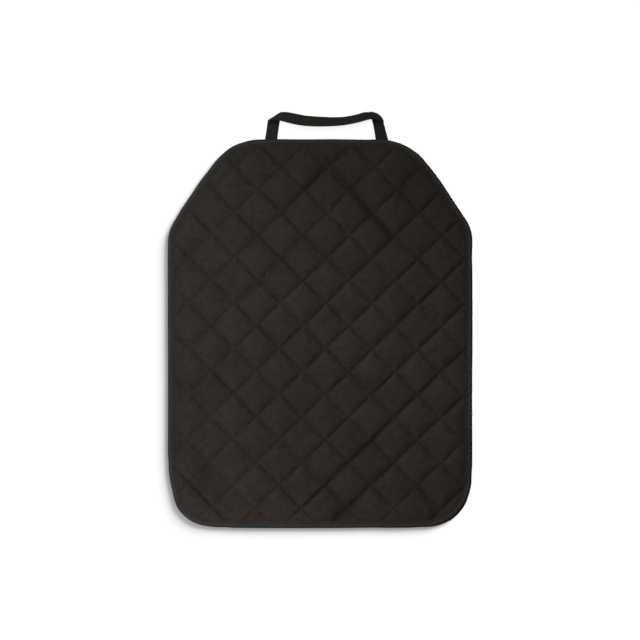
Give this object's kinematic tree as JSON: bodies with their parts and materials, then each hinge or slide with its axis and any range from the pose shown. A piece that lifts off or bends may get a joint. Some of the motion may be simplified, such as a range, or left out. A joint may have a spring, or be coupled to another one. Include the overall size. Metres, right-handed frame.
{
  "type": "car seat protector",
  "caption": "Quilted padded mat with sloped upper corners, a folded tape binding all round and a webbing loop at the top edge, for covering the back of a car seat.",
  "frame": {"origin": "on the surface that the mat lies on, at the middle of the whole object's length and width", "axes": "+Z out of the quilted face, +Y up the mat towards the strap, +X to the right seen from the face"},
  "size_m": [0.46, 0.6296, 0.0115],
  "materials": {
    "face_cloth": "matt woven polyester",
    "wadding": "loose white polyester fibre",
    "backing_cloth": "felted non-woven",
    "edge_binding": "finely ribbed tape",
    "hanging_strap": "woven webbing"
  },
  "bodies": {
    "root": {"face_cloth": "face_cloth", "wadding": "wadding", "backing_cloth": "backing_cloth", "edge_binding": "edge_binding", "hanging_strap": "hanging_strap"}
  },
  "joints": []
}
